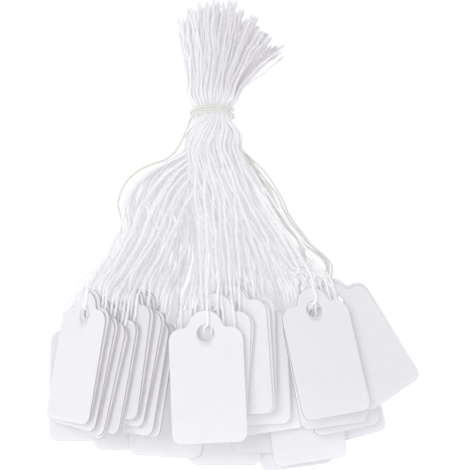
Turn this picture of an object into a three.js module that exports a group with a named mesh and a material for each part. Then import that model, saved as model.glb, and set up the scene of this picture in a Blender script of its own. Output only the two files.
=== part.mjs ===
// A bundle of blank card price tags. Each tag hangs on its own thread, and one wound thread binds them all.
// It lies on a table: +X right, +Y towards the cut ends of the threads, +Z up, lengths in millimetres.
import * as THREE from "three";

// The card of one tag. Heights along it are counted from the centre of its hole.
const TAG_WIDTH = 13;
const CARD_THICKNESS = 0.3;
const HOLE_RADIUS = 1.5;
const HOLE_TO_BOTTOM = 19.1;
const HOLE_TO_SHOULDER = 0.9;
const HOLE_TO_HEAD_CENTRE = 0.8;
const HEAD_RADIUS = 3.1;
const THROAT_RADIUS = 0.9;
const SHOULDER_RADIUS = 2.3;
const BOTTOM_RADIUS = 1.6;

// The threads
const THREAD_DIAMETER = 0.45;
const THREAD_CLEARANCE = 0.3;
const THREAD_SIDES = 5;
const STRAND_SPREAD = 0.45;
const TUFT_LENGTH = 19;

// The binding thread round the neck
const BINDING_DIAMETER = 0.5;
const BINDING_TURNS = 1.5;
const BINDING_STEP = 1;
const BINDING_SIDES = 6;
const STEPS_PER_TURN = 24;

// The neck, where all strands run side by side in rows, from the table up
const NECK_X = -4.2;
const NECK_Y = 22.3;
const NECK_PITCH = 0.8;
const NECK_ROWS = [4, 6, 7, 8, 9, 8, 7, 6, 3];
const ROW_RATIO = Math.sqrt(3) / 2;
const NECK_TOP = 1.4;

// Below the binding the strands spread: [how far from the binding, how many times as wide as in it]
const NECK_SPREAD = [
  [-7, 1.6],
  [-4, 1.25],
  [-1.4, 1],
];

const strandOverCard = CARD_THICKNESS / 2 + THREAD_CLEARANCE + THREAD_DIAMETER / 2;
const deckStep = CARD_THICKNESS + THREAD_DIAMETER + 2.5 * THREAD_CLEARANCE;
const degrees = THREE.MathUtils.degToRad;

// A card's frame: its turn about its long axis, its head's rise, and its foot's swing to the right
function makeFrame(place, turn, pitch, lean) {
  const frame = new THREE.Matrix4();
  frame.makeRotationFromEuler(new THREE.Euler(degrees(pitch), degrees(turn), degrees(lean), "ZXY"));
  return frame.setPosition(...place);
}

// Every tag's frame stands at the centre of its hole. bow pushes its slack thread sideways.
const tags = [];

function addTag(name, frame, bow = 0) {
  tags.push({ name, frame, bow });
}

// Base tags lie nearly flat on the table in four levels. Each stands at the middle of its bottom edge.
const BASE_LEVELS = [
  { z: 0.25, pitch: 3.5 },
  { z: 1, pitch: 5.5 },
  { z: 1.8, pitch: 7.5 },
  { z: 2.6, pitch: 9.5 },
];

function addBaseTag(name, level, x, y, lean, bow) {
  const { z, pitch } = BASE_LEVELS[level];
  const toHole = new THREE.Matrix4().makeTranslation(0, HOLE_TO_BOTTOM, 0);
  addTag(name, makeFrame([x, y, z], 0, pitch, lean).multiply(toHole), bow);
}

addBaseTag("base_1", 0, -26.8, -37.5, 0, -5);
addBaseTag("base_2", 1, -18.7, -39.3, 0, -2);
addBaseTag("base_3", 0, -8.6, -39.9, 0);
addBaseTag("base_4", 1, -1.8, -41.9, 0);
addBaseTag("base_5", 0, 11.2, -42.2, 8);
addBaseTag("base_6", 1, 21, -37.2, 15);
addBaseTag("base_7", 2, 6, -39.9, 0);
addBaseTag("base_8", 2, -12.5, -40.6, -4);
addBaseTag("base_9", 3, 13.6, -41.6, 9);

// A deck is a pile of parallel cards, each a deck step below the last. A place in it is [right, up, swing].
function addDeck(name, deck, places) {
  const frame = makeFrame(deck.hole, deck.turn, deck.pitch, deck.lean);
  places.forEach(([right, up, swing, bow], i) => {
    const place = new THREE.Matrix4().makeTranslation(right, up, -i * deckStep);
    const turned = new THREE.Matrix4().makeRotationZ(degrees(swing));
    addTag(`${name}_${i + 1}`, frame.clone().multiply(place).multiply(turned), bow);
  });
}

// The left deck stands on its left edges like fallen dominoes
const LEFT_DECK = { hole: [-26.4, -16.6, 11.2], turn: -48, pitch: 8, lean: -9 };
addDeck("left", LEFT_DECK, [
  [0, 0, 0, -5],
  [1, -0.8, -3, -3],
  [2.2, -1.2, -5, -2.6],
  [3.2, -0.8, -1, -2.2],
  [4.4, 1.8, 3, -1.8],
  [6.1, 1.2, -2, -1.4],
  [6.5, -0.2, 0, -1],
  [6.4, -0.4, 1, -0.6],
]);

// The middle deck lies nearly flat under the tag in front
const MIDDLE_DECK = { hole: [-5.1, -20.7, 15.1], turn: -2, pitch: 8, lean: 2.6 };
addDeck("middle", MIDDLE_DECK, [
  [0, 0, 0],
  [1.6, 3, -5],
  [4.2, 4.6, 1.3],
  [5.7, 5.4, -1.2],
  [7.6, 2.8, 0],
  [8.4, 1.3, 6],
  [2.2, 1.2, -1],
]);

// The right deck slopes down to the right, and its second tag has slid out
const RIGHT_DECK = { hole: [13.9, -15.9, 12], turn: 20, pitch: 3, lean: 12 };
addDeck("right", RIGHT_DECK, [
  [0, 0, 0],
  [5.3, 0.6, 22],
  [1.2, -1.5, -2],
  [3, -2.5, 1],
]);

function arc(x, y, radius, from, to, steps) {
  const points = [];
  for (let i = 0; i <= steps; i += 1) {
    const angle = degrees(from + ((to - from) * i) / steps);
    points.push(new THREE.Vector2(x + radius * Math.cos(angle), y + radius * Math.sin(angle)));
  }
  return points;
}

// One card: a rectangle with round corners, whose small round head holds the hole
function makeCard() {
  const half = TAG_WIDTH / 2;
  const throatRise = HOLE_TO_SHOULDER + THROAT_RADIUS - HOLE_TO_HEAD_CENTRE;
  const throatReach = HEAD_RADIUS + THROAT_RADIUS;
  const throatX = Math.sqrt(throatReach ** 2 - throatRise ** 2);
  const throatAngle = THREE.MathUtils.radToDeg(Math.atan2(throatRise, throatX));
  const throatY = HOLE_TO_SHOULDER + THROAT_RADIUS;
  const shoulderX = half - SHOULDER_RADIUS;
  const shoulderY = HOLE_TO_SHOULDER - SHOULDER_RADIUS;
  const bottomX = half - BOTTOM_RADIUS;
  const bottomY = BOTTOM_RADIUS - HOLE_TO_BOTTOM;
  const outline = [
    ...arc(bottomX, bottomY, BOTTOM_RADIUS, -90, 0, 3),
    ...arc(shoulderX, shoulderY, SHOULDER_RADIUS, 0, 90, 4),
    ...arc(throatX, throatY, THROAT_RADIUS, -90, -180 + throatAngle, 3),
    ...arc(0, HOLE_TO_HEAD_CENTRE, HEAD_RADIUS, throatAngle, 180 - throatAngle, 10).slice(1, -1),
    ...arc(-throatX, throatY, THROAT_RADIUS, -throatAngle, -90, 3),
    ...arc(-shoulderX, shoulderY, SHOULDER_RADIUS, 90, 180, 4),
    ...arc(-bottomX, bottomY, BOTTOM_RADIUS, 180, 270, 3),
  ];
  const shape = new THREE.Shape(outline);
  shape.holes.push(new THREE.Path(arc(0, 0, HOLE_RADIUS, 360, 0, 14).slice(1)));
  const card = new THREE.ExtrudeGeometry(shape, { depth: CARD_THICKNESS, bevelEnabled: false });
  card.translate(0, 0, -CARD_THICKNESS / 2);
  return card;
}

// A route whose rings stand at its own points: close where it bends, and far apart where it is straight
class Route extends THREE.CatmullRomCurve3 {
  getUtoTmapping(u) {
    return u;
  }
}

function makeTube(points, diameter, sides) {
  const section = new THREE.Shape(arc(0, 0, diameter / 2, 0, 360, sides).slice(1));
  const route = new Route(points, false, "centripetal");
  return new THREE.ExtrudeGeometry(section, {
    steps: points.length - 1,
    bevelEnabled: false,
    extrudePath: route,
  });
}

// One strand from the middle of the hole to above the head, on the tag's front (side 1) or back (side -1)
function strandAtTag(frame, side) {
  const bendY = HOLE_RADIUS + strandOverCard - THREAD_DIAMETER / 2 - THREAD_CLEARANCE;
  const headTop = HOLE_TO_HEAD_CENTRE + HEAD_RADIUS;
  const local = [
    [0.3 * STRAND_SPREAD, bendY - strandOverCard * Math.SQRT1_2, strandOverCard * Math.SQRT1_2],
    [STRAND_SPREAD, bendY, strandOverCard],
    [STRAND_SPREAD, headTop, strandOverCard],
    [STRAND_SPREAD, headTop + 2, strandOverCard],
  ];
  return local.map(([x, y, z]) => new THREE.Vector3(side * x, y, side * z).applyMatrix4(frame));
}

function holeCrossing(frame) {
  const y = HOLE_RADIUS - THREAD_DIAMETER / 2 - THREAD_CLEARANCE;
  return new THREE.Vector3(0, y, 0).applyMatrix4(frame);
}

// The places in the neck, row by row from the table up and from left to right in each row
const neckRadius = ((Math.max(...NECK_ROWS) - 1) * NECK_PITCH) / 2 + THREAD_DIAMETER / 2;
const bindingRadius = neckRadius + THREAD_CLEARANCE + BINDING_DIAMETER / 2;
const neckHeight = bindingRadius + BINDING_DIAMETER / 2;
const middleRow = NECK_ROWS.indexOf(Math.max(...NECK_ROWS));
const neckPlaces = NECK_ROWS.map((count, row) => {
  const z = neckHeight + (row - middleRow) * NECK_PITCH * ROW_RATIO;
  return Array.from({ length: count }, (_, i) => [NECK_X + (i - (count - 1) / 2) * NECK_PITCH, z]);
});

// Low strands take the low rows, and each row keeps the strands' order from left to right, so no two cross
function takePlaces(strands) {
  const waiting = [...strands].sort((a, b) => a.head.z - b.head.z);
  for (const row of neckPlaces) {
    const taken = waiting.splice(0, row.length).sort((a, b) => a.head.x - b.head.x);
    taken.forEach((strand, i) => {
      [strand.x, strand.z] = row[i];
    });
  }
}

// The free ends above the neck fan out, most of all to the right, where they are shorter
function tuftEnd(strand) {
  const across = (strand.x - NECK_X) / neckRadius;
  const angle = degrees(-5 + 9.5 * (across + 1) ** 2);
  const length = TUFT_LENGTH * (1 - 0.2 * (across + 0.15) ** 2);
  const rise = 0.35 * (strand.z - neckHeight);
  const start = new THREE.Vector3(strand.x, NECK_Y + NECK_TOP, strand.z);
  const fan = [
    [0.3, 0.8],
    [0.65, 0.92],
    [1, 1],
  ].map(([share, bend]) => {
    const point = start.clone();
    point.x += share * length * Math.sin(bend * angle);
    point.y += share * length * Math.cos(bend * angle);
    point.z += share * rise;
    return point;
  });
  return [start, ...fan];
}

// Below the binding the strands spread, more sideways than upwards
function neckPoints(strand) {
  return NECK_SPREAD.map(([along, wide]) => {
    const x = NECK_X + (strand.x - NECK_X) * wide;
    const z = neckHeight + (strand.z - neckHeight) * (0.8 + 0.2 * wide);
    return new THREE.Vector3(x, NECK_Y + along, z);
  });
}

// The strand from above its tag's head to its cut end
function strandToTip(strand, bow) {
  const neck = neckPoints(strand);
  const skirt = [0.8, 0.6, 0.4, 0.2].map((share, i) => {
    const point = new THREE.Vector3().lerpVectors(neck[0], strand.head, share);
    point.x += bow * [0.1, 0.4, 0.9, 0.9][i];
    return point;
  });
  return [...skirt, ...neck, ...tuftEnd(strand)];
}

const strands = tags.flatMap(({ frame }) =>
  [1, -1].map((side) => {
    const atTag = strandAtTag(frame, side);
    return { atTag, head: atTag.at(-1) };
  })
);
takePlaces(strands);

function threadRoute(index) {
  const { frame, bow } = tags[index];
  const [front, back] = [0, 1].map((k) => {
    const strand = strands[2 * index + k];
    return [...strand.atTag, ...strandToTip(strand, bow)];
  });
  return [...front.reverse(), holeCrossing(frame), ...back];
}

// The binding thread: turns round the neck, then a free end that bows out to the left over the table
const BINDING_TAIL = [
  [-9.3, 19, 2.8],
  [-10.9, 16.4, 1.4],
  [-12.8, 14.8, 0.7],
  [-15.4, 13.9, 0.45],
  [-17.9, 12.7, 0.3],
  [-19.7, 11.1, 0.26],
  [-20.9, 9.1, 0.26],
  [-21.6, 6.1, 0.26],
  [-20.9, 3.3, 0.26],
  [-21.3, -0.6, 0.26],
  [-23.3, -3.9, 0.26],
];

function windingPoints() {
  const points = [];
  for (let i = 0; i <= STEPS_PER_TURN * BINDING_TURNS; i += 1) {
    const angle = degrees((360 * i) / STEPS_PER_TURN);
    points.push(
      new THREE.Vector3(
        NECK_X + bindingRadius * Math.cos(angle),
        NECK_Y + BINDING_STEP * (BINDING_TURNS / 2 - i / STEPS_PER_TURN),
        neckHeight + bindingRadius * Math.sin(angle)
      )
    );
  }
  return points;
}

// The least gap between two stretches of one thread that are at least half a turn apart
function leastGap(points, diameter) {
  const halfTurn = STEPS_PER_TURN / 2;
  let least = Infinity;
  points.forEach((point, i) => {
    points.slice(i + halfTurn).forEach((other) => {
      least = Math.min(least, point.distanceTo(other) - diameter);
    });
  });
  return least;
}

const bindingPoints = [...windingPoints(), ...BINDING_TAIL.map((place) => new THREE.Vector3(...place))];
console.log(`binding thread: least gap to itself ${leastGap(bindingPoints, BINDING_DIAMETER).toFixed(3)} mm`);

const paper = { color: 0xf1f0f5, roughness: 0.72, metalness: 0 };
const cotton = { color: 0xebebef, roughness: 0.9, metalness: 0 };
const ivory = { color: 0xeeeee2, roughness: 0.85, metalness: 0 };

function addMesh(group, name, geometry, look) {
  const mesh = new THREE.Mesh(geometry, new THREE.MeshStandardMaterial(look));
  mesh.name = name;
  group.add(mesh);
  return mesh;
}

const bundle = new THREE.Group();
const card = makeCard();
tags.forEach(({ name, frame }, index) => {
  addMesh(bundle, `tag_${name}`, card.clone(), paper).applyMatrix4(frame);
  const thread = makeTube(threadRoute(index), THREAD_DIAMETER, THREAD_SIDES);
  addMesh(bundle, `thread_${name}`, thread, cotton);
});
addMesh(bundle, "binding_thread", makeTube(bindingPoints, BINDING_DIAMETER, BINDING_SIDES), ivory);

export default bundle;
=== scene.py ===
# %% [markdown]
# # A bundle of strung price tags
# The real object is a heap of small blank white cards. Each card hangs on a looped white string, and all
# the strings are wound together at a neck by one ivory thread. The solids and the joints come from the
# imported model, which is loaded here as a fixed frame. This script gives each card, each string and the
# binding thread its final look.

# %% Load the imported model
import math

import bpy
import numpy as np
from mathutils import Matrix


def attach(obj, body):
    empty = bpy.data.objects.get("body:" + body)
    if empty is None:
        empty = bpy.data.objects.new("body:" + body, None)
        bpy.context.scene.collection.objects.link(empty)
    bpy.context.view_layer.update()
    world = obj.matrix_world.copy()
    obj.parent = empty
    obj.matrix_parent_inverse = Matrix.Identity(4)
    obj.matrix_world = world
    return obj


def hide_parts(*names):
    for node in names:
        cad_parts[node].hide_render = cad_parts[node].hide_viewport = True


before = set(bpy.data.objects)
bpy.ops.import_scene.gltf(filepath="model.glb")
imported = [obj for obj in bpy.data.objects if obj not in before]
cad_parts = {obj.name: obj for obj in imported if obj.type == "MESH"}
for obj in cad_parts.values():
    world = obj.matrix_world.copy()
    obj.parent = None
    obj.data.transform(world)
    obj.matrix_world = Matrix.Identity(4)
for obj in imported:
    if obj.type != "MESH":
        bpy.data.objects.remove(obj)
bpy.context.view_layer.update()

# %% [markdown]
# ## The camera
# The photograph looks steeply down on the tags, with the strings running up the picture. A long lens far
# away keeps all tags the same width, as in the photograph. All sizes below are in millimetres, and are
# turned to metres where they are handed to Blender.

# %% Camera
MM = 0.001
CAMERA_TARGET = np.array([0.0, -1.0, 6.0])
CAMERA_ELEVATION = 76
CAMERA_DISTANCE = 330
VIEW_WIDTH = 84.9
SENSOR_WIDTH = 36
NEAREST_SEEN = 10

elevation = math.radians(CAMERA_ELEVATION)
looking = np.array([0, math.cos(elevation), -math.sin(elevation)])
camera_data = bpy.data.cameras.new("camera")
camera_data.sensor_width = SENSOR_WIDTH
camera_data.lens = SENSOR_WIDTH * CAMERA_DISTANCE / VIEW_WIDTH
camera_data.clip_start = NEAREST_SEEN * MM
camera = bpy.data.objects.new("camera", camera_data)
camera.location = (CAMERA_TARGET - CAMERA_DISTANCE * looking) * MM
camera.rotation_euler = (math.radians(90 - CAMERA_ELEVATION), 0, 0)
bpy.context.scene.collection.objects.link(camera)
bpy.context.scene.camera = camera
print("camera at", tuple(round(x, 3) for x in camera.location), "lens", round(camera_data.lens, 1))

# %% [markdown]
# ## Where the tags lie
# The strings start at the tags, so the tags' places come first. These are the driving sizes of the
# solids. A card's frame stands at the centre of its hole: x across the card, y towards its head, z out
# of its front.

# %% Sizes of the solids
TAG_WIDTH = 13
CARD_THICKNESS = 0.3
HOLE_RADIUS = 1.5
HOLE_TO_BOTTOM = 19.1
HOLE_TO_SHOULDER = 0.9
HOLE_TO_HEAD_CENTRE = 0.8
HEAD_RADIUS = 3.1
THROAT_RADIUS = 0.9
SHOULDER_RADIUS = 2.3
BOTTOM_RADIUS = 1.6

THREAD_DIAMETER = 0.45
THREAD_CLEARANCE = 0.3
STRAND_SPREAD = 0.45
STRAND_PAST_HEAD = 2

BINDING_DIAMETER = 0.5
NECK_X = -4.2
NECK_Y = 22.3
NECK_PITCH = 0.8
NECK_ROWS = [4, 6, 7, 8, 9, 8, 7, 6, 3]
NECK_SPREAD = [(-7, 1.6), (-4, 1.25), (-1.4, 1)]
NECK_TOP = 1.4
ROW_RATIO = math.sqrt(3) / 2

strand_over_card = CARD_THICKNESS / 2 + THREAD_CLEARANCE + THREAD_DIAMETER / 2
deck_step = CARD_THICKNESS + THREAD_DIAMETER + 2.5 * THREAD_CLEARANCE
print("from card to card in a deck:", round(deck_step, 3), "mm")

# %% Frames
def turned(axis, angle):
    """A 4 by 4 rotation by an angle in degrees about the x, y or z axis."""
    c, s = math.cos(math.radians(angle)), math.sin(math.radians(angle))
    i, j = {"x": (1, 2), "y": (2, 0), "z": (0, 1)}[axis]
    matrix = np.eye(4)
    matrix[i, i] = matrix[j, j] = c
    matrix[i, j] = -s
    matrix[j, i] = s
    return matrix


def moved(x, y, z):
    """A 4 by 4 move."""
    matrix = np.eye(4)
    matrix[:3, 3] = x, y, z
    return matrix


def card_frame(place, turn, pitch, lean):
    """The move to a place, then lean about z, pitch about x and turn about y."""
    return moved(*place) @ turned("z", lean) @ turned("x", pitch) @ turned("y", turn)


# %% Places of the cards
# The height of the foot and the pitch, for each level of the tags that lie flat
BASE_LEVELS = [(0.25, 3.5), (1, 5.5), (1.8, 7.5), (2.6, 9.5)]
cards = {}


def add_base_tag(name, level, x, y, lean, bow=0):
    """A tag of the flat row, placed by its foot. The bow is how far its string swings aside."""
    z, pitch = BASE_LEVELS[level]
    cards[name] = (card_frame((x, y, z), 0, pitch, lean) @ moved(0, HOLE_TO_BOTTOM, 0), bow)


def add_deck(name, hole, turn, pitch, lean, places):
    """Tags that lie one below the other. Each has its way right and up, its swing and maybe a bow."""
    for i, (right, up, swing, *bow) in enumerate(places):
        place = moved(right, up, -i * deck_step) @ turned("z", swing)
        cards[f"{name}_{i + 1}"] = (card_frame(hole, turn, pitch, lean) @ place, sum(bow))


add_base_tag("base_1", 0, -26.8, -37.5, 0, -5)
add_base_tag("base_2", 1, -18.7, -39.3, 0, -2)
add_base_tag("base_3", 0, -8.6, -39.9, 0)
add_base_tag("base_4", 1, -1.8, -41.9, 0)
add_base_tag("base_5", 0, 11.2, -42.2, 8)
add_base_tag("base_6", 1, 21, -37.2, 15)
add_base_tag("base_7", 2, 6, -39.9, 0)
add_base_tag("base_8", 2, -12.5, -40.6, -4)
add_base_tag("base_9", 3, 13.6, -41.6, 9)
add_deck("left", (-26.4, -16.6, 11.2), -48, 8, -9, [
    (0, 0, 0, -5), (1, -0.8, -3, -3), (2.2, -1.2, -5, -2.6), (3.2, -0.8, -1, -2.2),
    (4.4, 1.8, 3, -1.8), (6.1, 1.2, -2, -1.4), (6.5, -0.2, 0, -1), (6.4, -0.4, 1, -0.6),
])
add_deck("middle", (-5.1, -20.7, 15.1), -2, 8, 2.6, [
    (0, 0, 0), (1.6, 3, -5), (4.2, 4.6, 1.3), (5.7, 5.4, -1.2),
    (7.6, 2.8, 0), (8.4, 1.3, 6), (2.2, 1.2, -1),
])
add_deck("right", (13.9, -15.9, 12), 20, 3, 12, [
    (0, 0, 0), (5.3, 0.6, 22), (1.2, -1.5, -2), (3, -2.5, 1),
])
print("cards:", len(cards))

# %% [markdown]
# ## Tubes that follow a path
# A string is a round tube carried along a path, so every string can come from one function. Blender can
# bevel a curve to the same end, but here numpy arrays set every ring and the map for the twist. The path
# is a smooth line through a few points. Its rings stand close together where the string bends round the
# card, and further apart where it runs straight, which keeps hundreds of strings light.

# %% Smooth paths
def through(points, count=600):
    """A smooth line through the points, made of cubic pieces.

    On the piece from a to b, with u from 0 to 1, end slopes m and n and a time of w, it is
    (2u^3 - 3u^2 + 1) a + (u^3 - 2u^2 + u) w m + (3u^2 - 2u^3) b + (u^3 - u^2) w n.
    The slopes come from the neighbours. Time grows with the square root of the points' distance.
    """
    points = np.asarray(points, float)
    chord = np.linalg.norm(np.diff(points, axis=0), axis=1)
    time = np.concatenate([[0], np.cumsum(np.sqrt(chord))])
    slope = np.gradient(points, time, axis=0)
    t = np.linspace(0, time[-1], count)
    k = np.clip(np.searchsorted(time, t, side="right") - 1, 0, len(points) - 2)
    width = (time[k + 1] - time[k])[:, None]
    u = (t - time[k])[:, None] / width
    return (
        (2 * u**3 - 3 * u**2 + 1) * points[k]
        + (u**3 - 2 * u**2 + u) * width * slope[k]
        + (3 * u**2 - 2 * u**3) * points[k + 1]
        + (u**3 - u**2) * width * slope[k + 1]
    )


def lengths_along(line):
    """How far along the line each of its points lies."""
    return np.concatenate([[0], np.cumsum(np.linalg.norm(np.diff(line, axis=0), axis=1))])


def line_length(line):
    return float(np.linalg.norm(np.diff(line, axis=0), axis=1).sum())


def respaced(line, rings, crowd_at=None, crowd_width=3.0, crowd=3.5):
    """The same line with a set number of points, spread evenly or crowded round one length along it.

    They stand closer by 1 + crowd exp(-((length - crowd_at) / crowd_width)^2).
    """
    length = lengths_along(line)
    weight = np.ones(len(line))
    if crowd_at is not None:
        weight += crowd * np.exp(-(((length - crowd_at) / crowd_width) ** 2))
    steps = np.diff(length) * (weight[1:] + weight[:-1]) / 2
    total = np.concatenate([[0], np.cumsum(steps)])
    where = np.interp(np.linspace(0, total[-1], rings), total, length)
    return np.stack([np.interp(where, length, line[:, i]) for i in range(3)], axis=1)


# %% Meshes from grids
def link(mesh, name):
    thing = bpy.data.objects.new(name, mesh)
    bpy.context.scene.collection.objects.link(thing)
    return thing


def fill_mesh(name, vertices, quads, uv=None):
    """A smooth-shaded mesh from places in millimetres, four-cornered faces and a uv place per vertex."""
    mesh = bpy.data.meshes.new(name)
    mesh.vertices.add(len(vertices))
    mesh.vertices.foreach_set("co", (vertices * MM).astype(np.float32).ravel())
    mesh.loops.add(quads.size)
    mesh.loops.foreach_set("vertex_index", quads.astype(np.int32).ravel())
    mesh.polygons.add(len(quads))
    mesh.polygons.foreach_set("loop_start", np.arange(0, quads.size, 4, dtype=np.int32))
    mesh.update(calc_edges=True)
    mesh.polygons.foreach_set("use_smooth", np.ones(len(quads), bool))
    if uv is not None:
        layer = mesh.uv_layers.new(name="along")
        layer.data.foreach_set("uv", uv[quads.ravel()].astype(np.float32).ravel())
    mesh.validate()
    return link(mesh, name)


# %% Tubes
# The share of a string's radius in its last four rings, from the tip inwards
KNOTTED_TIP = [0.02, 1.5, 1.7, 1.1]
PLAIN_TIP = [0.02, 0.8, 1, 1]


def tube_arrays(lines, radius, sides, reference):
    """Tubes round many lines at once, as places, faces and uv.

    The surface is line + radius (side cos a + other sin a). Side and other stand square to the line, and
    side points along the reference as nearly as it can. The map's u is a / 2 pi and its v the length.
    lines is strands by rings by 3, and radius is strands by rings.
    """
    tangent = np.gradient(lines, axis=1)
    tangent /= np.linalg.norm(tangent, axis=2, keepdims=True)
    reference = np.broadcast_to(np.asarray(reference, float), lines.shape)
    side = reference - (reference * tangent).sum(2, keepdims=True) * tangent
    side /= np.linalg.norm(side, axis=2, keepdims=True)
    other = np.cross(tangent, side)
    angle = np.linspace(0, 2 * np.pi, sides, endpoint=False)
    ring = side[:, :, None] * np.cos(angle)[:, None] + other[:, :, None] * np.sin(angle)[:, None]
    surface = lines[:, :, None] + ring * radius[:, :, None, None]
    along = np.cumsum(np.linalg.norm(np.diff(lines, axis=1, prepend=lines[:, :1]), axis=2), axis=1)
    uv = np.stack(np.broadcast_arrays(angle / (2 * np.pi), along[:, :, None]), axis=-1)
    strands, rings = lines.shape[:2]
    index = np.arange(strands * rings * sides).reshape(strands, rings, sides)
    beside = np.roll(index, -1, axis=2)
    quads = np.stack([index[:, :-1], beside[:, :-1], beside[:, 1:], index[:, 1:]], axis=-1)
    return surface.reshape(-1, 3), quads.reshape(-1, 4), uv.reshape(-1, 2)


def tip_radius(count, rings, radius, start_knot, end_knot):
    """The radius in each ring of each strand.

    It is the string's own, and closes to a point in the last ring. A free end swells just before that
    into a small knot.
    """
    shape = np.ones((count, rings))
    shape[:, :4] = KNOTTED_TIP if start_knot else PLAIN_TIP
    shape[:, :-5:-1] = KNOTTED_TIP if end_knot else PLAIN_TIP
    return shape * radius


def strings(name, lines, radius, sides=6, start_knot=True, end_knot=True, reference=(1.0, 0.0, 0.0)):
    """One mesh of tubes along the lines."""
    lines = np.asarray(lines, float)
    widths = tip_radius(*lines.shape[:2], radius, start_knot, end_knot)
    return fill_mesh(name, *tube_arrays(lines, widths, sides, reference))


# %% [markdown]
# ## The strings
# Each string goes from a cut tip in the tuft through the neck, over the front of its tag's head, through
# the hole and back along the same way. The strings take the neck's places in order of height and then
# from left to right, so that they don't cross. These are the routes of the solids, worked out again,
# because a finer tube needs the path and not the solid's faces.

# %% Places in the neck
neck_radius = (max(NECK_ROWS) - 1) * NECK_PITCH / 2 + THREAD_DIAMETER / 2
binding_radius = neck_radius + THREAD_CLEARANCE + BINDING_DIAMETER / 2
neck_height = binding_radius + BINDING_DIAMETER / 2
middle_row = NECK_ROWS.index(max(NECK_ROWS))
print("neck radius:", round(neck_radius, 3), "mm, its height:", round(neck_height, 3), "mm")


def neck_rows():
    """Rows of places in the neck from the table up, each a list of (x, z)."""
    rows = []
    for row, count in enumerate(NECK_ROWS):
        z = neck_height + (row - middle_row) * NECK_PITCH * ROW_RATIO
        rows.append([(NECK_X + (i - (count - 1) / 2) * NECK_PITCH, z) for i in range(count)])
    return rows


def take_places(heads, rows):
    """For each head point its place in the neck: low ones in low rows, and left ones further left."""
    waiting = sorted(range(len(heads)), key=lambda k: heads[k][2])
    places = [None] * len(heads)
    for row in rows:
        taken, waiting = waiting[: len(row)], waiting[len(row) :]
        for place, k in zip(row, sorted(taken, key=lambda k: heads[k][0])):
            places[k] = place
    return places


# %% Strand at its tag
def at(card, x, y, z):
    """A place in the card's own frame, moved to where the card lies."""
    return (card @ np.array([x, y, z, 1.0]))[:3]


def strand_at_tag(card, side):
    """From the middle of the hole to just above the head, on the card's front (side 1) or back (-1)."""
    bend_y = HOLE_RADIUS + strand_over_card - THREAD_DIAMETER / 2 - THREAD_CLEARANCE
    head_top = HOLE_TO_HEAD_CENTRE + HEAD_RADIUS
    diagonal = strand_over_card * math.sqrt(0.5)
    local = [
        (0.3 * STRAND_SPREAD, bend_y - diagonal, diagonal),
        (STRAND_SPREAD, bend_y, strand_over_card),
        (STRAND_SPREAD, head_top, strand_over_card),
        (STRAND_SPREAD, head_top + STRAND_PAST_HEAD, strand_over_card),
    ]
    return [at(card, side * x, y, side * z) for x, y, z in local]


# %% Strand to its tip
TUFT_LENGTH = 19
TUFT_ROUNDING = 0.2
TUFT_RISE = 0.35
LONGEST_AT = -0.15
FAN_START = -5
FAN_GROWTH = 9.5
# Shares of the tuft's length, and how much of its full angle each has
TUFT_SHARES = [(0.3, 0.8), (0.65, 0.92), (1, 1)]
# Shares of the way from the neck down to the tag, and how much of the bow each has
SKIRT_SHARES = [(0.8, 0.1), (0.6, 0.4), (0.4, 0.9), (0.2, 0.9)]


def tuft_end(x, z, longer=1.0, aside=0.0):
    """From the end of the neck to the cut tip: the strings fan out, most of all to the right.

    With s from -1 to 1 across the neck, the angle is -5 + 9.5 (s + 1)^2 degrees.
    """
    across = (x - NECK_X) / neck_radius
    angle = math.radians(FAN_START + FAN_GROWTH * (across + 1) ** 2 + aside)
    length = TUFT_LENGTH * (1 - TUFT_ROUNDING * (across - LONGEST_AT) ** 2) * longer
    rise = TUFT_RISE * (z - neck_height)
    start = np.array([x, NECK_Y + NECK_TOP, z])
    fan = [start]
    for share, bend in TUFT_SHARES:
        reach = share * length
        fan.append(start + [reach * math.sin(bend * angle), reach * math.cos(bend * angle), share * rise])
    return fan


def neck_points(x, z):
    """The strands spread below the binding thread, more sideways than upwards."""
    points = []
    for along, wide in NECK_SPREAD:
        high = 0.8 + 0.2 * wide
        place = [NECK_X + (x - NECK_X) * wide, NECK_Y + along, neck_height + (z - neck_height) * high]
        points.append(np.array(place))
    return points


def strand_to_tip(head, place, bow):
    """From above the tag's head through a place in the neck to the tip."""
    x, z = place
    neck = neck_points(x, z)
    low = neck[0]
    skirt = [low + share * (head - low) + [bow * push, 0, 0] for share, push in SKIRT_SHARES]
    return [*skirt, *neck, *tuft_end(x, z)]


# %% Routes of all strands
sides = [(name, side) for name in cards for side in (1, -1)]
starts = [strand_at_tag(cards[name][0], side) for name, side in sides]
neck_places = take_places([start[-1] for start in starts], neck_rows())
strands = {
    key: [*start, *strand_to_tip(start[-1], place, cards[key[0]][1])]
    for key, start, place in zip(sides, starts, neck_places)
}
print("strands:", len(strands))

# %% [markdown]
# ## Waviness
# A string of the photograph never runs quite straight. Four waves of different length on every path, each
# with a chance start, make it limp cotton instead of wire. They die away at the tags and at the binding
# thread, where the string is held.

# %% Waviness
# The length and the relative height of each wave
WAVES = [(31, 1), (13, 0.5), (7.3, 0.3), (4.1, 0.16)]
WAVE_SPREAD = (0.5, 1.4)
CALM_LENGTH = 8
TUFT_CALM = 6
TUFT_CALM_LENGTH = 10
rng = np.random.default_rng(11)


def wavy(line, size, calm):
    """Adds sideways waves, and upward ones half as high, of size times calm, from 0 to 1 on the line."""
    length = lengths_along(line)
    moved_line = line.copy()
    for axis, share in ((0, 1.0), (2, 0.5)):
        for wave_length, height in WAVES:
            phase = rng.uniform(0, 2 * np.pi)
            wave = np.sin(2 * np.pi * length / wave_length + phase)
            moved_line[:, axis] += share * size * height * rng.uniform(*WAVE_SPREAD) * wave * calm
    return moved_line


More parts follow.
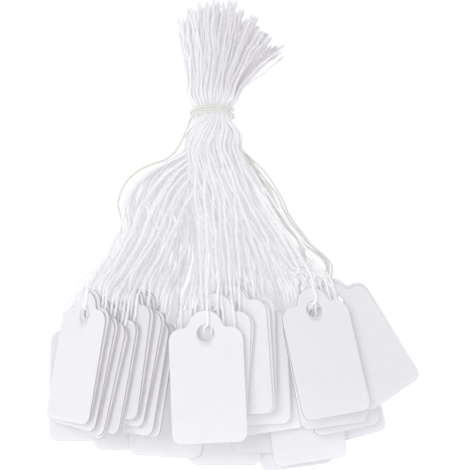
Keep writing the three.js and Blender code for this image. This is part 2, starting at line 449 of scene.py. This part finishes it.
def calm_near(line, y_from, y_to):
    """0 at the tags and at the binding thread, 1 between them and in the tuft."""
    y = line[:, 1]
    skirt = np.clip((y - y_from) / CALM_LENGTH, 0, 1) * np.clip((y_to - y) / CALM_LENGTH, 0, 1)
    tuft = np.clip((y - y_to - TUFT_CALM) / TUFT_CALM_LENGTH, 0, 1)
    return skirt + tuft


# %% Strings of the solids
RINGS_PER_STRING = 190
STRING_SIDES = 8
STRING_WAVE = 0.22
CALM_AT_TAG = 6
CALM_AT_TIE = 6
# A tip's swollen knot may not dip below the table
KNOT_RADIUS = 0.39

string_pieces = []
for name, (card, _) in cards.items():
    front = strands[(name, 1)]
    back = strands[(name, -1)]
    crossing = at(card, 0, HOLE_RADIUS - THREAD_DIAMETER / 2 - THREAD_CLEARANCE, 0)
    line = through([*front[::-1], crossing, *back], count=1200)
    line = wavy(line, STRING_WAVE, calm_near(line, crossing[1] + CALM_AT_TAG, NECK_Y - CALM_AT_TIE))
    line[:, 2] = np.maximum(line[:, 2], KNOT_RADIUS)
    half = line_length(line[: len(line) // 2])
    line = respaced(line, RINGS_PER_STRING, crowd_at=half)
    piece = strings(f"string_{name}", [line], THREAD_DIAMETER / 2, STRING_SIDES)
    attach(piece, "threads")
    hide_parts(f"thread_{name}")
    line * MM
    string_pieces.append(piece)
print("strings:", len(string_pieces), "one is", round(line_length(line), 1), "mm long")

# %% [markdown]
# ## The binding thread
# One ivory thread is wound tightly round the neck, and its end bows out to the left over the table. It is
# a tube like the strings. Its first spoke points away from the neck on the turns, and up on the table,
# so that the tube doesn't twist where the one runs into the other.

# %% Binding thread
BINDING_TURNS = 1.5
BINDING_STEP = 1
BINDING_RINGS = 260
STEPS_PER_TURN = 24
BINDING_TAIL = [
    (-9.3, 19, 2.8), (-10.9, 16.4, 1.4), (-12.8, 14.8, 0.7), (-15.4, 13.9, 0.45), (-17.9, 12.7, 0.3),
    (-19.7, 11.1, 0.26), (-20.9, 9.1, 0.26), (-21.6, 6.1, 0.26), (-20.9, 3.3, 0.26), (-21.3, -0.6, 0.26),
    (-23.3, -3.9, 0.26),
]
# How far below the tie the first spoke starts to turn up, and over what length it does
TAIL_TURN_START = 2
TAIL_TURN_LENGTH = 4


def binding_line():
    """A helix of one and a half turns round the neck, then a smooth line through the tail's points.

    At turn t from 0 to 1.5 the helix is at angle 2 pi t, and it goes down by the step in each turn.
    """
    turn = np.arange(int(STEPS_PER_TURN * BINDING_TURNS) + 1) / STEPS_PER_TURN
    angle = 2 * np.pi * turn
    winding = np.stack(
        [
            NECK_X + binding_radius * np.cos(angle),
            NECK_Y + BINDING_STEP * (BINDING_TURNS / 2 - turn),
            neck_height + binding_radius * np.sin(angle),
        ],
        axis=1,
    )
    line = respaced(through([*winding, *BINDING_TAIL], count=2400), BINDING_RINGS)
    line[:, 2] = np.maximum(line[:, 2], BINDING_DIAMETER / 2)
    return line


def binding_spokes(line):
    """The direction of the first spoke: outward from the neck, then up where the tail lies down."""
    outward = (line - np.array([NECK_X, 0, neck_height])) * [1, 0, 1]
    outward /= np.linalg.norm(outward, axis=1, keepdims=True)
    on_table = np.clip((NECK_Y - TAIL_TURN_START - line[:, 1]) / TAIL_TURN_LENGTH, 0, 1)[:, None]
    return outward * (1 - on_table) + np.array([0, 0, 1.0]) * on_table


line = binding_line()
spokes = binding_spokes(line)[None]
binding_piece = strings("binding", [line], BINDING_DIAMETER / 2, STRING_SIDES, False, False, spokes)
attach(binding_piece, "threads")
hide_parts("binding_thread")
tuple(line[0] * MM)
line * MM
print("binding thread:", round(line_length(line), 1), "mm long")

# %% [markdown]
# ## The strings of the hidden tags
# A bought bundle holds about a hundred tags, and most of them lie hidden in the heap. Their strings still
# show, and make the skirt and the tuft full. Below the binding thread they part into two locks: a broad
# one that falls to the right over a lower one that fans out to the left. A hair system would need combing
# by hand, so a lock is drawn by the curves of its two edges, and each string keeps its own share of the
# way from one edge to the other. Each string starts in the gap under a card.

# %% Edges of the locks
# The y of seven places down the skirt, and there the x of a lock's two edges and the z of its back
LOCK_HEIGHTS = np.array([15.3, 12.5, 9, 4.6, 0.5, -4.5, -9])
LEFT_LOCK = {
    "outer": [-9.7, -14.6, -19.2, -20.9, -20.4, -22.6, -25],
    "inner": [-8.3, -8.3, -8, -7, -6, -5, -4.6],
    "top": [5.2, 5.2, 5.6, 6.2, 7, 8.4, 10.4],
}
MAIN_LOCK = {
    "outer": [-9, -9, -8.8, -7.8, -6.6, -5.2, -4.4],
    "inner": [1.3, 2.4, 4, 6.2, 8.6, 11.8, 14],
    "top": [8.6, 9.2, 9.6, 9.4, 9.2, 9.8, 11.4],
}
LOCK_PARTING = -6
LOWEST = 0.4
EDGE_HEIGHT = 0.35


def lock_points(lock, share, depth):
    """Points at the lock's heights, for a share from its outer edge to its inner one.

    The lock is a low mound across: z = 0.4 + (0.35 + 0.65 m) depth (top - 0.4), where
    m = sqrt(1 - (2 share - 1)^2), so that depth 1 lies on its back and depth 0 on the table.
    """
    outer, inner, top = (np.array(lock[key], float) for key in ("outer", "inner", "top"))
    x = outer + share * (inner - outer)
    mound = math.sqrt(max(1 - (2 * share - 1) ** 2, 0))
    z = LOWEST + (EDGE_HEIGHT + (1 - EDGE_HEIGHT) * mound) * depth * (top - LOWEST)
    return np.stack([x, LOCK_HEIGHTS, z], axis=1)


print("locks meet at x", LOCK_PARTING, "and start at y", LOCK_HEIGHTS[0])

# %% Where the hidden strings start
# The tag that slid out of the pile has no others below it
SLID_OUT = "right_2"
HIDDEN_PER_CARD = 8
HIDDEN_ACROSS = (-4.2, 4.6)
HIDDEN_UP = (2.4, 5.2)


def hidden_starts():
    """Points from beside each card's hole to past its head, in the gap under the card.

    A card on the table has no gap under it, so its strings start above it.
    """
    low, high = HIDDEN_UP
    found = []
    for name, (card, _) in cards.items():
        if name == SLID_OUT:
            continue
        gap = deck_step / 2 if name.startswith("base") else -deck_step / 2
        for across in np.linspace(*HIDDEN_ACROSS, HIDDEN_PER_CARD):
            x = across + rng.uniform(-0.5, 0.5)
            z = gap + rng.uniform(-0.2, 0.2)
            local = [(x, rng.uniform(-1.5, 0), z), (x, low, z), (0.95 * x, high, z)]
            found.append(np.array([at(card, *point) for point in local]))
    return found


# %% Where the hidden strings end
FULLER_NECK = 0.2
LENGTH_SPREAD = (0.92, 1.09)
ANGLE_SCATTER = 3
# From where across the neck, of -1 to 1, a string belongs to a side of the tuft
RIGHT_SIDE = 0.2
LEFT_SIDE = -0.3
TIP_CURL = 2.2
TIP_DROP = 0.6
SIDE_SHIFT = 0.9
SWELL_ABOVE = 3
SWELL_WIDTH = 1.35
SWELL_HEIGHT = 1.1


def full_neck(count):
    """Places that fill a round neck evenly, as seeds do in a sunflower.

    Place k lies at radius r sqrt((k + 1/2) / count) and at k + 1/2 turns of the golden angle.
    """
    k = np.arange(count) + 0.5
    radius = (neck_radius + FULLER_NECK) * np.sqrt(k / count)
    angle = k * math.pi * (3 - math.sqrt(5))
    return np.stack([NECK_X + radius * np.cos(angle), neck_height + radius * np.sin(angle)], axis=1)


def fanned_tuft(x, z):
    """A tuft end of its own length and angle.

    It swells just above the tie. The strings of both sides stand out, and right tips curl to the right.
    """
    points = tuft_end(x, z, rng.uniform(*LENGTH_SPREAD), rng.normal(0, ANGLE_SCATTER))
    across = (x - NECK_X) / neck_radius
    right = max(across - RIGHT_SIDE, 0)
    left = max(LEFT_SIDE - across, 0)
    curl = TIP_CURL * right * rng.uniform(0.2, 1)
    points[1:] = [point - [SIDE_SHIFT * left, 0, 0] for point in points[1:]]
    points[2] = points[2] + [SIDE_SHIFT * right, 0, 0]
    points[-1] = points[-1] + [curl, -TIP_DROP * curl, 0]
    swell = np.array([
        NECK_X + (x - NECK_X) * SWELL_WIDTH,
        NECK_Y + SWELL_ABOVE,
        neck_height + (z - neck_height) * SWELL_HEIGHT,
    ])
    return [points[0], swell, *points[1:]]


# %% Hidden strings of a lock
HIDDEN_DIAMETER = 0.4
HIDDEN_RINGS = 92
HIDDEN_WAVE = 0.35
CALM_AT_HIDDEN_TAG = 1
CALM_AT_HIDDEN_TIE = 4
# Strings stray from their order across the lock by about this many places
STRAY = 2.5
# The depth of a string in the middle of the neck, what a radius more of height adds, and its scatter
MIDDLE_DEPTH = 0.62
DEPTH_PER_RADIUS = 0.5
DEPTH_SCATTER = 0.15
# A string leaves the lock's own curves below this y, to get to its card's head
LEAVING_Y = 0.5
HEAD_GAP = 4
# The left edge of the strings just below the tie, which keeps off the binding thread's tail
TAIL_SIDE = -8.8


def led_to_head(path, head):
    """Bends the lower end of a lock's path over to the head of the string's own card.

    It mixes the path with the straight way to the head. The share of the straight way is 0 above
    LEAVING_Y and grows to 1 at the head with the power 1.2 of the way down.
    """
    path = path[path[:, 1] > head[1] + HEAD_GAP]
    near = np.clip((LEAVING_Y - path[:, 1]) / (LEAVING_Y - head[1]), 0, 1)[:, None] ** 1.2
    along = (path[:, 1:2] - head[1]) / (path[0, 1] - head[1])
    return path * (1 - near) + (head + (path[:1] - head) * along) * near


def bulge_point(bound, first, x, z):
    """A point between the tie and the lock's first height, where the strings stand apart."""
    bulge = 0.55 * bound + 0.45 * first + [0.4 * (x - NECK_X) - 0.3, 0, 0.15 * (z - neck_height)]
    bulge[0] = max(bulge[0], TAIL_SIDE)
    return bulge


def lock_strings(lock, starts, places):
    """Strings in order across the lock, from the cards to the tips, with a share and a depth each."""
    order = np.argsort([start[-1][0] for start in starts])
    places = places[np.argsort(places[:, 0])]
    lines = []
    for (x, z), start in zip(places, [starts[k] for k in order]):
        share = np.clip((len(lines) + rng.normal(0, STRAY)) / (len(order) - 1), 0.01, 0.99)
        level = MIDDLE_DEPTH + DEPTH_PER_RADIUS * (z - neck_height) / neck_radius
        depth = np.clip(level + rng.normal(0, DEPTH_SCATTER), 0.1, 1)
        head = start[-1]
        path = led_to_head(lock_points(lock, share, depth), head)
        bound = neck_points(x, z)[-1]
        bulge = bulge_point(bound, path[0], x, z)
        line = through([*start, *path[::-1], bulge, bound, *fanned_tuft(x, z)])
        calm = calm_near(line, head[1] + CALM_AT_HIDDEN_TAG, NECK_Y - CALM_AT_HIDDEN_TIE)
        line = wavy(line, HIDDEN_WAVE, calm)
        line[:, 2] = np.maximum(line[:, 2], KNOT_RADIUS)
        lines.append(respaced(line, HIDDEN_RINGS))
    return np.array(lines)


# %% Loose strings
# The card of each, how far aside of its hole it starts, and how high it lies
LOOSE = [
    (SLID_OUT, -0.9, 1),
    (SLID_OUT, 1.2, 1.6),
    ("right_1", -0.8, 2.2),
    (SLID_OUT, 0.3, 0.8),
    ("right_1", -1.8, 1.2),
]
LOOSE_WAVE = 0.3
UNDER_CARD = -0.7


def loose_strings():
    """A few slack strings that bow out to the right of the skirt, on their way to the tags there."""
    lines = []
    for k, (name, aside, lift) in enumerate(LOOSE):
        card = cards[name][0]
        start = np.array([at(card, aside, y, UNDER_CARD) for y in (0.5, 3.2)])
        head = start[-1]
        x, z = NECK_X + 2.6 + 0.12 * k, neck_height + 0.5 * k - 1
        if name == SLID_OUT:
            bow = [
                np.array([16.7 + 0.5 * aside, -6.6, 6.5]),
                np.array([13.5 + 0.7 * aside, -2.9, 4.5 + lift]),
            ]
        else:
            half_way = (np.array([9.6 + aside, 1.8, 4]) - head) * 0.55
            bow = [head + half_way + [1.4 + 0.3 * k, 0.6, 0]]
        points = [
            *bow,
            np.array([9.8 + 0.8 * aside, 1.8, 3 + lift]),
            np.array([6.2 + 0.6 * aside, 9, 3 + lift]),
            np.array([1.6 + 0.1 * aside, 15, 4 + 0.4 * k]),
        ]
        line = through([*start, *points, *neck_points(x, z)[1:], *fanned_tuft(x, z)])
        calm = calm_near(line, head[1] + CALM_AT_HIDDEN_TAG, NECK_Y - CALM_AT_HIDDEN_TIE)
        line = wavy(line, LOOSE_WAVE, calm)
        lines.append(respaced(line, HIDDEN_RINGS))
    return np.array(lines)


# %% Frizzy strings
FRIZZY_COUNT = 9
FRIZZY_RINGS = 150
COIL_ABOVE = 3.2
COIL_LENGTH = 3
COIL_WIDTH = 0.75
COIL_HEIGHT = 0.6
COIL_LIFT = 1.2


def frizzy_strings():
    """Kinked strings of the right deck, as coils that are strongest a little above the head.

    With c = exp(-((y - head - 3.2) / 3)^2), x grows by 0.75 c cos t and z by 0.6 c sin t + 1.2 c.
    """
    card = cards["right_1"][0]
    lines = []
    for _ in range(FRIZZY_COUNT):
        across = rng.uniform(-4, 2)
        start = np.array([at(card, x, y, UNDER_CARD) for x, y in ((across, 0), (across, 3), (across, 5.5))])
        share = rng.uniform(0.92, 1.02)
        path = lock_points(MAIN_LOCK, share, rng.uniform(0.8, 1.05))
        path = path[path[:, 1] > start[-1][1] + 5]
        x, z = NECK_X + 2.2, neck_height + rng.uniform(-1.5, 1.5)
        line = through([*start, *path[::-1], *neck_points(x, z)[1:], *fanned_tuft(x, z)], count=900)
        calm = np.exp(-(((line[:, 1] - start[-1][1] - COIL_ABOVE) / COIL_LENGTH) ** 2))
        turn = 2 * math.pi * lengths_along(line) / rng.uniform(2.6, 4) + rng.uniform(0, 6)
        line[:, 0] += COIL_WIDTH * calm * np.cos(turn)
        line[:, 2] += COIL_HEIGHT * calm * np.sin(turn) + COIL_LIFT * calm
        lines.append(respaced(line, FRIZZY_RINGS, crowd_at=9, crowd_width=6, crowd=3))
    return np.array(lines)


# %% All hidden strings
def add_hidden(name, lines):
    piece = strings(name, lines, HIDDEN_DIAMETER / 2, start_knot=False)
    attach(piece, "threads")
    print(name, len(lines), "strings,", len(piece.data.polygons), "faces")
    return piece


hidden = hidden_starts()
left_starts = [start for start in hidden if start[-1][0] < LOCK_PARTING]
right_starts = [start for start in hidden if start[-1][0] >= LOCK_PARTING]
places = full_neck(len(hidden))
places = places[np.argsort(places[:, 0] + 0.5 * places[:, 1])]
left_places = places[: len(left_starts)]
right_places = places[len(left_starts) :]

left_lock = add_hidden("strings_left_lock", lock_strings(LEFT_LOCK, left_starts, left_places))
main_lock = add_hidden("strings_main_lock", lock_strings(MAIN_LOCK, right_starts, right_places))
loose_piece = add_hidden("strings_loose", loose_strings())
frizzy_piece = add_hidden("strings_frizzy", frizzy_strings())

# %% [markdown]
# ## The cards
# A card is a flat ring round its hole. Its section runs from the hole's edge out to the cut outline on
# the front, round the thin cut edge and back on the rear, and it is carried once round the hole. That
# makes one closed surface with a soft edge and no cutting tool. A real card is never quite flat, so its
# foot curls a little.

# %% Outline of a card
SIDE_POINTS = 18
FOOT_POINTS = 12
CORNER_STEPS = 8
SHOULDER_STEPS = 10
HEAD_STEPS = 14


def arc(x, y, radius, start, end, steps):
    """Points on a circle about (x, y), from one angle in degrees to another."""
    angle = np.radians(np.linspace(start, end, steps + 1))
    return np.stack([x + radius * np.cos(angle), y + radius * np.sin(angle)], axis=1)


def card_outline():
    """A rectangle with round corners and a narrower round head, anticlockwise from the right foot."""
    half = TAG_WIDTH / 2
    throat_y = HOLE_TO_SHOULDER + THROAT_RADIUS
    throat_x = math.sqrt((HEAD_RADIUS + THROAT_RADIUS) ** 2 - (throat_y - HOLE_TO_HEAD_CENTRE) ** 2)
    throat = math.degrees(math.atan2(throat_y - HOLE_TO_HEAD_CENTRE, throat_x))
    shoulder_x, shoulder_y = half - SHOULDER_RADIUS, HOLE_TO_SHOULDER - SHOULDER_RADIUS
    bottom_x, bottom_y = half - BOTTOM_RADIUS, BOTTOM_RADIUS - HOLE_TO_BOTTOM
    right_half = np.concatenate([
        arc(bottom_x, bottom_y, BOTTOM_RADIUS, -90, 0, CORNER_STEPS),
        np.linspace([half, bottom_y], [half, shoulder_y], SIDE_POINTS)[1:-1],
        arc(shoulder_x, shoulder_y, SHOULDER_RADIUS, 0, 90, SHOULDER_STEPS),
        arc(throat_x, throat_y, THROAT_RADIUS, -90, -180 + throat, CORNER_STEPS),
        arc(0, HOLE_TO_HEAD_CENTRE, HEAD_RADIUS, throat, 90, HEAD_STEPS)[1:],
    ])
    left_half = (right_half * [-1, 1])[::-1][1:]
    foot = np.linspace([-bottom_x, -HOLE_TO_BOTTOM], [bottom_x, -HOLE_TO_BOTTOM], FOOT_POINTS)[1:-1]
    return np.concatenate([right_half, left_half, foot])


outline = card_outline()
print("outline:", len(outline), "points")

# %% Card surface
EDGE_ROUND = 0.06
CARD_RINGS = 14
CURL_START = 2


def card_surface(curl, twist):
    """Rings of the card's section, carried round the hole.

    On the front, ring s is hole + s (outline - hole), with s from 0 to 1. A quarter circle rounds the
    edge on each side, and the back mirrors the front. With d from 0 below the hole to 1 at the foot, the
    card is lifted by curl d^2 + twist d x / width.
    """
    angle = np.arctan2(outline[:, 1], outline[:, 0])
    hole = HOLE_RADIUS * np.stack([np.cos(angle), np.sin(angle)], axis=1)
    inward = -outline / np.linalg.norm(outline, axis=1, keepdims=True)
    half = CARD_THICKNESS / 2
    rings = []
    for share in np.linspace(0, 1, CARD_RINGS):
        rings.append((hole + share * (outline + EDGE_ROUND * inward - hole), half))
    for step in (30, 60, 90):
        a = math.radians(step)
        ring = outline + inward * EDGE_ROUND * (1 - math.sin(a))
        rings.append((ring, half - EDGE_ROUND * (1 - math.cos(a))))
    rings += [(ring, -z) for ring, z in rings[::-1]]
    surface = np.stack([np.column_stack([ring, np.full(len(ring), z)]) for ring, z in rings])
    down = np.clip((-surface[:, :, 1] - CURL_START) / (HOLE_TO_BOTTOM - CURL_START), 0, 1)
    surface[:, :, 2] += curl * down**2 + twist * down * surface[:, :, 0] / TAG_WIDTH
    return surface


def make_card(name, card, body, warp):
    """A card that rides on a body. The faces of its cut edge take the second material."""
    surface = card_surface(*warp)
    places = np.concatenate([surface, np.ones((*surface.shape[:2], 1))], axis=2) @ card.T
    rings, around = surface.shape[:2]
    index = np.arange(rings * around).reshape(rings, around)
    near, far = index, np.roll(index, -1, axis=0)
    quads = np.stack([near, far, np.roll(far, -1, axis=1), np.roll(near, -1, axis=1)], axis=-1)
    uv = surface[:, :, :2].reshape(-1, 2)
    piece = fill_mesh(name, places[:, :, :3].reshape(-1, 3), quads.reshape(-1, 4), uv)
    ring = np.arange(rings * around) // around
    on_edge = (ring >= CARD_RINGS - 1) & (ring < rings - CARD_RINGS)
    piece.data.polygons.foreach_set("material_index", on_edge.astype(np.int32))
    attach(piece, body)
    return piece


# %% The cards of the solids
# The curl and the twist of each card. Two cards pass each other closely when they swing, and stay flat.
warps = {name: (rng.uniform(-0.05, 0.1), rng.uniform(-0.1, 0.1)) for name in cards}
for name in ("middle_6", "right_4"):
    warps[name] = (0, 0)

card_pieces = []
for name, (card, _) in cards.items():
    piece = make_card(f"card_{name}", card, f"tag_{name}", warps[name])
    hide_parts(f"tag_{name}")
    card_pieces.append(piece)
print("card pieces:", len(card_pieces), "faces each:", len(card_pieces[0].data.polygons))

# %% [markdown]
# ## More cards in the gaps
# In the real heap the cards lie closer than the solids do, whose strings need room to move. So some gaps
# of the decks hold one more card each. It lies close behind the card above, a little aside, and moves
# with it.

# %% More cards
BEHIND = 0.38
# No card fits behind these, at rest or when they swing
NO_CARD_BEHIND = [
    "left_7", "left_8", "middle_1", "middle_4", "middle_5", "middle_6", "middle_7",
    "right_1", "right_3", "right_4",
]
# How far such a card lies right and up of the one above it, and its swing in degrees
MORE_OFFSETS = [(0.3, 0.6), (-0.3, 0.7), (-2.5, -0.5)]

more_cards = []
for name, (card, _) in cards.items():
    if name.startswith("base") or name in NO_CARD_BEHIND:
        continue
    right, up, swing = (rng.uniform(*span) for span in MORE_OFFSETS)
    place = card @ moved(right, up, -BEHIND) @ turned("z", swing)
    more_cards.append(make_card(f"more_{name}", place, f"tag_{name}", warps[name]))
card_pieces += more_cards
print("more cards:", len(more_cards))

# %% [markdown]
# ## Writing shader maths as Python
# A material is a network of nodes. A small class wraps a node's socket, so that sums on sockets can be
# written as ordinary expressions, and each operator adds its Math node. A second class makes the nodes
# of one material, and holds the few settings that several materials share.

# %% Shader maths
class Value:
    """The output of a node, in sums and products."""

    def __init__(self, maker, socket):
        self.maker = maker
        self.socket = socket

    def math(self, operation, *others):
        return self.maker.node("ShaderNodeMath", {"operation": operation}, [self, *others])

    def __add__(self, other):
        return self.math("ADD", other)

    def __mul__(self, other):
        return self.math("MULTIPLY", other)

    __radd__ = __add__
    __rmul__ = __mul__


# %% Shader nodes
class Maker:
    """Makes one material. node() takes a type, its settings, and its sockets' values or links."""

    def __init__(self, name):
        self.material = bpy.data.materials.new(name)
        self.material.use_nodes = True
        self.tree = self.material.node_tree
        self.shader = self.tree.nodes["Principled BSDF"]

    def node(self, kind, settings, inputs, output=0):
        made = self.tree.nodes.new(kind)
        for key, value in settings.items():
            setattr(made, key, value)
        pairs = inputs.items() if isinstance(inputs, dict) else enumerate(inputs)
        for key, value in pairs:
            self.put(made.inputs[key], value)
        return Value(self, made.outputs[output])

    def put(self, socket, value):
        if isinstance(value, Value):
            self.tree.links.new(value.socket, socket)
        else:
            socket.default_value = value

    def coordinates(self):
        return self.node("ShaderNodeTexCoord", {}, {}, "Object")

    def noise(self, scale, detail):
        inputs = {"Vector": self.coordinates(), "Scale": scale, "Detail": detail}
        return self.node("ShaderNodeTexNoise", {}, inputs)

    def mixed(self, factor, first, second):
        """From the first colour to the second as the factor goes from 0 to 1."""
        first, second = (c if isinstance(c, Value) else (*c, 1) for c in (first, second))
        return self.node("ShaderNodeMix", {"data_type": "RGBA"}, {0: factor, 6: first, 7: second}, 2)

    def parts(self, vector):
        """The x, y and z of a vector."""
        made = self.tree.nodes.new("ShaderNodeSeparateXYZ")
        self.put(made.inputs[0], vector)
        return [Value(self, output) for output in made.outputs]

    def rising(self, value, start, end):
        """0 up to start, 1 from end, and even between them."""
        return self.node("ShaderNodeMapRange", {"clamp": True}, [value, start, end, 0.0, 1.0])

    def bump(self, height, strength, distance):
        inputs = {"Height": height, "Strength": strength, "Distance": distance}
        return self.node("ShaderNodeBump", {}, inputs)

    def scatter(self, weight, reach):
        """Lets light in and out again within about this reach, which softens the shading."""
        self.put(self.shader.inputs["Subsurface Weight"], weight)
        self.put(self.shader.inputs["Subsurface Radius"], (1, 1, 1))
        self.put(self.shader.inputs["Subsurface Scale"], reach)

    def glow(self, strength):
        """An even white glow, for the light that so many white pieces throw at one another."""
        self.put(self.shader.inputs["Emission Color"], (1, 1, 1, 1))
        self.put(self.shader.inputs["Emission Strength"], strength)

    def finish(self, color, roughness, normal, specular=0.3):
        self.put(self.shader.inputs["Base Color"], color)
        self.put(self.shader.inputs["Roughness"], roughness)
        self.put(self.shader.inputs["Normal"], normal)
        self.put(self.shader.inputs["Specular IOR Level"], specular)
        return self.material


def dress(pieces, material):
    """Adds the material to the pieces. The first one is a piece's main finish."""
    for piece in pieces:
        piece.data.materials.append(material)


# %% [markdown]
# ## White card
# Card is pressed from fibres. Close to, it has a faint cloudy tone, and a fine felt-like grain that takes
# the shine off. Noise at two sizes gives both. An even glow is painted light, which lifts the shade in the
# gaps between the cards.

# %% White card
def white_card():
    m = Maker("white_card")
    clouds = m.noise(450, 2)
    fibres = m.noise(5200, 4)
    color = m.mixed(clouds * 0.6 + fibres * 0.4, (0.74, 0.733, 0.758), (0.8, 0.793, 0.815))
    m.scatter(0.6, 0.4 * MM)
    # Painted light: the card glows evenly, to lift the shade between the cards of a pile.
    m.glow(0.1)
    return m.finish(color, 0.52 + fibres * 0.2, m.bump(fibres * 0.6 + clouds * 0.4, 0.25, 0.04 * MM))


dress(card_pieces, white_card())
print("dressed:", len(card_pieces), "cards")

# %% [markdown]
# ## The cut edge
# The blade opens the card's fibres, so its thin edge is rougher than its faces. Its grey is painted shade:
# the edge's darker colour draws the fine dark lines of shade between the cards of a pile. A second material
# on the edge's own faces does it, and needs no picture.

# %% Cut edge
def painted_shade_edge():
    m = Maker("card_edge_painted_shade")
    fibres = m.noise(7000, 4)
    # Painted shade: the grey of the cut edge stands in for the shade in the gaps between the cards.
    color = m.mixed(fibres, (0.48, 0.45, 0.475), (0.7, 0.67, 0.695))
    return m.finish(color, 0.75 + fibres * 0.15, m.bump(fibres, 0.4, 0.03 * MM))


dress(card_pieces, painted_shade_edge())
print("materials of a card:", [material.name for material in card_pieces[0].data.materials])

# %% [markdown]
# ## Twisted cotton
# A string is two plies twisted together. On the tube's own map, u runs once round and v counts
# millimetres along it, so a wave in u and v together makes the slanting plies. The same wave paints shade
# into the grooves between them. The tuft is painted greyer than the skirt, most of all on its right: this
# is painted shade, as its strings stand apart there and shade one another. An even glow is painted light,
# which lifts the shade inside the bundle.

# %% Twisted cotton
PLY_TURN = 1.3
TUFT_PAINTED_SHADE = (0.54, 0.52, 0.55)
# Where the tuft's painted shade comes in, above the tie, and where it gets stronger, from left to right
TUFT_FROM, TUFT_TO = NECK_Y + 1, NECK_Y + 5
TUFT_SHADE_GROWS_FROM, TUFT_SHADE_GROWS_TO = NECK_X - 2, NECK_X + 5


def twisted_cotton(name, groove, crest, glow):
    """Two plies: (1 + sin(4 pi u + 2 pi v / turn)) / 2 is 1 on a crest and 0 in a groove."""
    m = Maker(name)
    around, along, _ = m.parts(m.node("ShaderNodeUVMap", {"uv_map": "along"}, {}))
    x, y, _ = m.parts(m.coordinates())
    phase = around * (4 * math.pi) + along * (2 * math.pi / PLY_TURN)
    ply = phase.math("SINE") * 0.5 + 0.5
    fuzz = m.noise(9000, 3)
    # Painted shade: the grooves between the plies take the darker of the two colours.
    before_tuft_shade = m.mixed(ply * 0.7 + fuzz * 0.3, groove, crest)
    in_tuft = m.rising(y, TUFT_FROM * MM, TUFT_TO * MM)
    to_right = m.rising(x, TUFT_SHADE_GROWS_FROM * MM, TUFT_SHADE_GROWS_TO * MM)
    # Painted shade: the tuft is mixed towards a grey, most of all on its right.
    color = m.mixed(in_tuft * (0.35 + to_right * 0.5), before_tuft_shade, TUFT_PAINTED_SHADE)
    m.scatter(1, 1 * MM)
    # Painted light: the strings glow evenly, which lifts the shade inside the bundle.
    m.glow(glow)
    return m.finish(color, 0.82 + fuzz * 0.12, m.bump(ply * 0.8 + fuzz * 0.2, 0.35, 0.06 * MM), 0.2)


white_cotton = twisted_cotton("white_cotton", (0.63, 0.623, 0.647), (0.69, 0.683, 0.707), 0.2)
lone_cotton = twisted_cotton("lone_cotton", (0.55, 0.545, 0.52), (0.64, 0.635, 0.61), 0.1)
ivory_cotton = twisted_cotton("ivory_cotton", (0.55, 0.543, 0.49), (0.64, 0.633, 0.575), 0.12)
dress([*string_pieces, left_lock, main_lock, frizzy_piece], white_cotton)
dress([loose_piece], lone_cotton)
dress([binding_piece], ivory_cotton)
print("materials:", [m.name for m in bpy.data.materials if m.users])

# %% [markdown]
# ## The studio
# The photograph has a pure white ground and very soft light from the upper left. The floor is pale and
# glows a little, as a light table does, so that the ground stays white and only the gaps between the
# cards turn grey.

# %% Floor
FLOOR_SIZE = 4000
FLOOR_TONE = 0.65
FLOOR_GLOW = 0.55

corners = np.array([[-1, -1, 0], [1, -1, 0], [1, 1, 0], [-1, 1, 0]]) * (FLOOR_SIZE / 2)
floor = fill_mesh("floor", corners.astype(float), np.array([[0, 1, 2, 3]]))
paint = Maker("floor_white")
paint.put(paint.shader.inputs["Base Color"], (FLOOR_TONE, FLOOR_TONE, FLOOR_TONE, 1))
paint.put(paint.shader.inputs["Roughness"], 0.9)
paint.glow(FLOOR_GLOW)
dress([floor], paint.material)
print("floor:", FLOOR_SIZE, "mm wide")

# %% Light
WORLD_COLOR = (0.97, 0.975, 1, 1)
WORLD_STRENGTH = 0.64


def area_light(name, place, size, power):
    """A round lamp that shines at the middle of the bundle."""
    data = bpy.data.lights.new(name, "AREA")
    data.shape = "DISK"
    data.size = size * MM
    data.energy = power
    light = bpy.data.objects.new(name, data)
    light.location = np.array(place) * MM
    light.rotation_euler = light.location.to_track_quat("Z", "Y").to_euler()
    bpy.context.scene.collection.objects.link(light)
    return light


lamps = [
    area_light("key", (-280, 0, 690), 420, 1.45),
    area_light("fill", (20, -560, 400), 500, 1.15),
]
world = bpy.data.worlds.new("studio")
world.use_nodes = True
background = world.node_tree.nodes["Background"]
background.inputs["Color"].default_value = WORLD_COLOR
background.inputs["Strength"].default_value = WORLD_STRENGTH
bpy.context.scene.world = world
bpy.context.scene.view_settings.view_transform = "Standard"
print("lamps:", [lamp.name for lamp in lamps])
